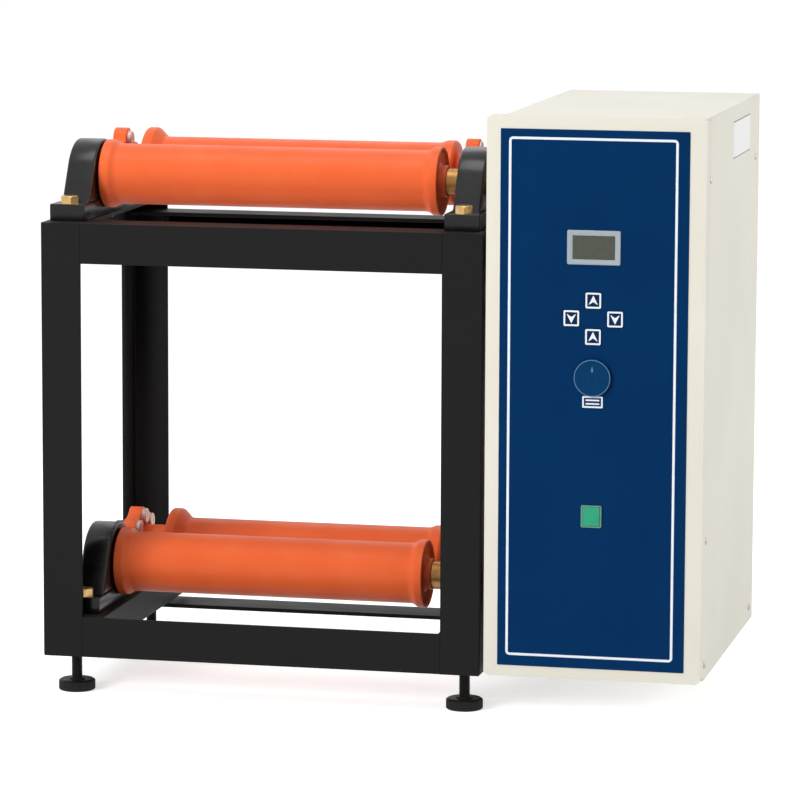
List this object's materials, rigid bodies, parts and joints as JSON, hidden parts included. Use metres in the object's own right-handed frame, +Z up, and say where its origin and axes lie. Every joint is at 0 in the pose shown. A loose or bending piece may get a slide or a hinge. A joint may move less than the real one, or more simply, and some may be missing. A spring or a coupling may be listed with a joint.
{
  "type": "laboratory ball mill",
  "caption": "Roller-type laboratory ball mill: an angle frame with two tiers of jar rollers, belt driven from a drive cabinet with a control panel on its right side.",
  "frame": {"origin": "on the floor, under the middle of the whole machine's box", "axes": "+X to the operator's right (frame to cabinet), +Y to the back, +Z up"},
  "size_m": [0.6626, 0.3696, 0.5871],
  "materials": {
    "frame_paint": "satin black powder coat",
    "block_paint": "semi-gloss black enamel on a casting",
    "foot_black": "black moulded foot",
    "roller_orange": "satin orange coating",
    "passivated": "yellow-passivated steel",
    "steel": "ground steel",
    "bearing_steel": "polished bearing steel",
    "button_zinc": "pale zinc plate",
    "cabinet_paint": "cream powder coat",
    "overlay_blue": "satin blue printed film",
    "bezel_grey": "pale grey moulding",
    "screen": "grey-green liquid crystal",
    "key_blue": "blue key with a pale outline",
    "button_green": "green lens",
    "button_body": "grey-green moulding",
    "belt_rubber": "black belt",
    "motor_grey": "grey cast housing",
    "pulley_alu": "turned aluminium",
    "board_green": "circuit board",
    "drive_grey": "painted heat-sink housing",
    "inlet_black": "black moulding"
  },
  "bodies": {
    "machine": {"front_posts": "frame_paint", "rear_posts": "frame_paint", "top_front_rail": "frame_paint", "bottom_front_rail": "frame_paint", "top_rear_rail": "frame_paint", "bottom_rear_bar": "frame_paint", "top_side_rails": "frame_paint", "bottom_side_rails": "frame_paint", "lower_shelves": "frame_paint", "weld_nuts": "steel", "block_bolts": "passivated", "upper_left_bearing_block": "block_paint", "upper_right_bearing_block": "block_paint", "lower_left_bearing_block": "block_paint", "lower_right_bearing_block": "block_paint", "rear_bearing_blocks": "block_paint", "front_bearings": "bearing_steel", "rear_bearings": "bearing_steel", "chassis": "cabinet_paint", "cover": "cabinet_paint", "back_panel": "cabinet_paint", "front_panel": "cabinet_paint", "cover_screws": "steel", "cabinet_spacers": "steel", "cabinet_bolts": "steel", "panel_overlay": "overlay_blue", "display_bezel": "bezel_grey", "display_module": "screen", "button_housing": "button_body", "control_board": "board_green", "speed_drive": "drive_grey", "mains_inlet": "inlet_black", "motor_bracket": "steel", "gear_motor": "motor_grey", "drive_belts": "belt_rubber"},
    "upper_drive_roller": {"upper_front_roller": "roller_orange", "upper_front_shaft": "passivated", "upper_roller_pulley": "pulley_alu"},
    "lower_drive_roller": {"lower_front_roller": "roller_orange", "lower_front_shaft": "passivated", "lower_roller_pulley": "pulley_alu"},
    "upper_idle_roller": {"upper_rear_roller": "roller_orange", "upper_rear_shaft": "steel", "upper_lobed_flanges": "roller_orange", "upper_flange_buttons": "button_zinc"},
    "lower_idle_roller": {"lower_rear_roller": "roller_orange", "lower_rear_shaft": "steel", "lower_lobed_flanges": "roller_orange", "lower_flange_buttons": "button_zinc"},
    "motor_output": {"motor_pulley": "pulley_alu"},
    "speed_knob_body": {"speed_knob": "key_blue"},
    "start_button_body": {"start_button": "button_green"},
    "key_up_body": {"key_up": "key_blue"},
    "key_down_body": {"key_down": "key_blue"},
    "key_left_body": {"key_left": "key_blue"},
    "key_right_body": {"key_right": "key_blue"},
    "foot_front_left": {"levelling_foot_front_left": "foot_black"},
    "foot_front_right": {"levelling_foot_front_right": "foot_black"},
    "foot_rear_left": {"levelling_foot_rear_left": "foot_black"},
    "foot_rear_right": {"levelling_foot_rear_right": "foot_black"}
  },
  "joints": [
    {"name": "upper_drive_spin", "type": "hinge", "parent": "machine", "child": "upper_drive_roller", "pos_m": [0, -0.07985, 0.513], "axis": [1, 0, 0], "continuous": true},
    {"name": "lower_drive_spin", "type": "hinge", "parent": "machine", "child": "lower_drive_roller", "pos_m": [0, -0.07985, 0.119], "axis": [1, 0, 0], "continuous": true},
    {"name": "motor_spin", "type": "hinge", "parent": "machine", "child": "motor_output", "pos_m": [0, -0.07985, 0.316], "axis": [1, 0, 0], "continuous": true},
    {"name": "upper_idle_spin", "type": "hinge", "parent": "machine", "child": "upper_idle_roller", "pos_m": [0, 0.01415, 0.513], "axis": [1, 0, 0], "continuous": true},
    {"name": "lower_idle_spin", "type": "hinge", "parent": "machine", "child": "lower_idle_roller", "pos_m": [0, 0.01415, 0.119], "axis": [1, 0, 0], "continuous": true},
    {"name": "knob_turn", "type": "hinge", "parent": "machine", "child": "speed_knob_body", "pos_m": [0.2219, -0.17985, 0.3362], "axis": [0, 1, 0], "range_deg": [-150, 150]},
    {"name": "key_up_press", "type": "slide", "parent": "machine", "child": "key_up_body", "axis": [0, 1, 0], "range_m": [0, 0.001], "stiffness_N_per_m": 600, "springref_m": -0.001},
    {"name": "key_down_press", "type": "slide", "parent": "machine", "child": "key_down_body", "axis": [0, 1, 0], "range_m": [0, 0.001], "stiffness_N_per_m": 600, "springref_m": -0.001},
    {"name": "key_left_press", "type": "slide", "parent": "machine", "child": "key_left_body", "axis": [0, 1, 0], "range_m": [0, 0.001], "stiffness_N_per_m": 600, "springref_m": -0.001},
    {"name": "key_right_press", "type": "slide", "parent": "machine", "child": "key_right_body", "axis": [0, 1, 0], "range_m": [0, 0.001], "stiffness_N_per_m": 600, "springref_m": -0.001},
    {"name": "start_press", "type": "slide", "parent": "machine", "child": "start_button_body", "axis": [0, 1, 0], "range_m": [0, 0.0016], "stiffness_N_per_m": 600, "springref_m": -0.001},
    {"name": "foot_front_left_screw", "type": "slide", "parent": "machine", "child": "foot_front_left", "axis": [0, 0, 1], "range_m": [-0.008, 0.012]},
    {"name": "foot_front_right_screw", "type": "slide", "parent": "machine", "child": "foot_front_right", "axis": [0, 0, 1], "range_m": [-0.008, 0.012]},
    {"name": "foot_rear_left_screw", "type": "slide", "parent": "machine", "child": "foot_rear_left", "axis": [0, 0, 1], "range_m": [-0.008, 0.012]},
    {"name": "foot_rear_right_screw", "type": "slide", "parent": "machine", "child": "foot_rear_right", "axis": [0, 0, 1], "range_m": [-0.008, 0.012]}
  ],
  "couplings": [
    {"joint": "lower_drive_spin", "follows": "upper_drive_spin", "ratio": 1},
    {"joint": "motor_spin", "follows": "upper_drive_spin", "ratio": 2}
  ]
}
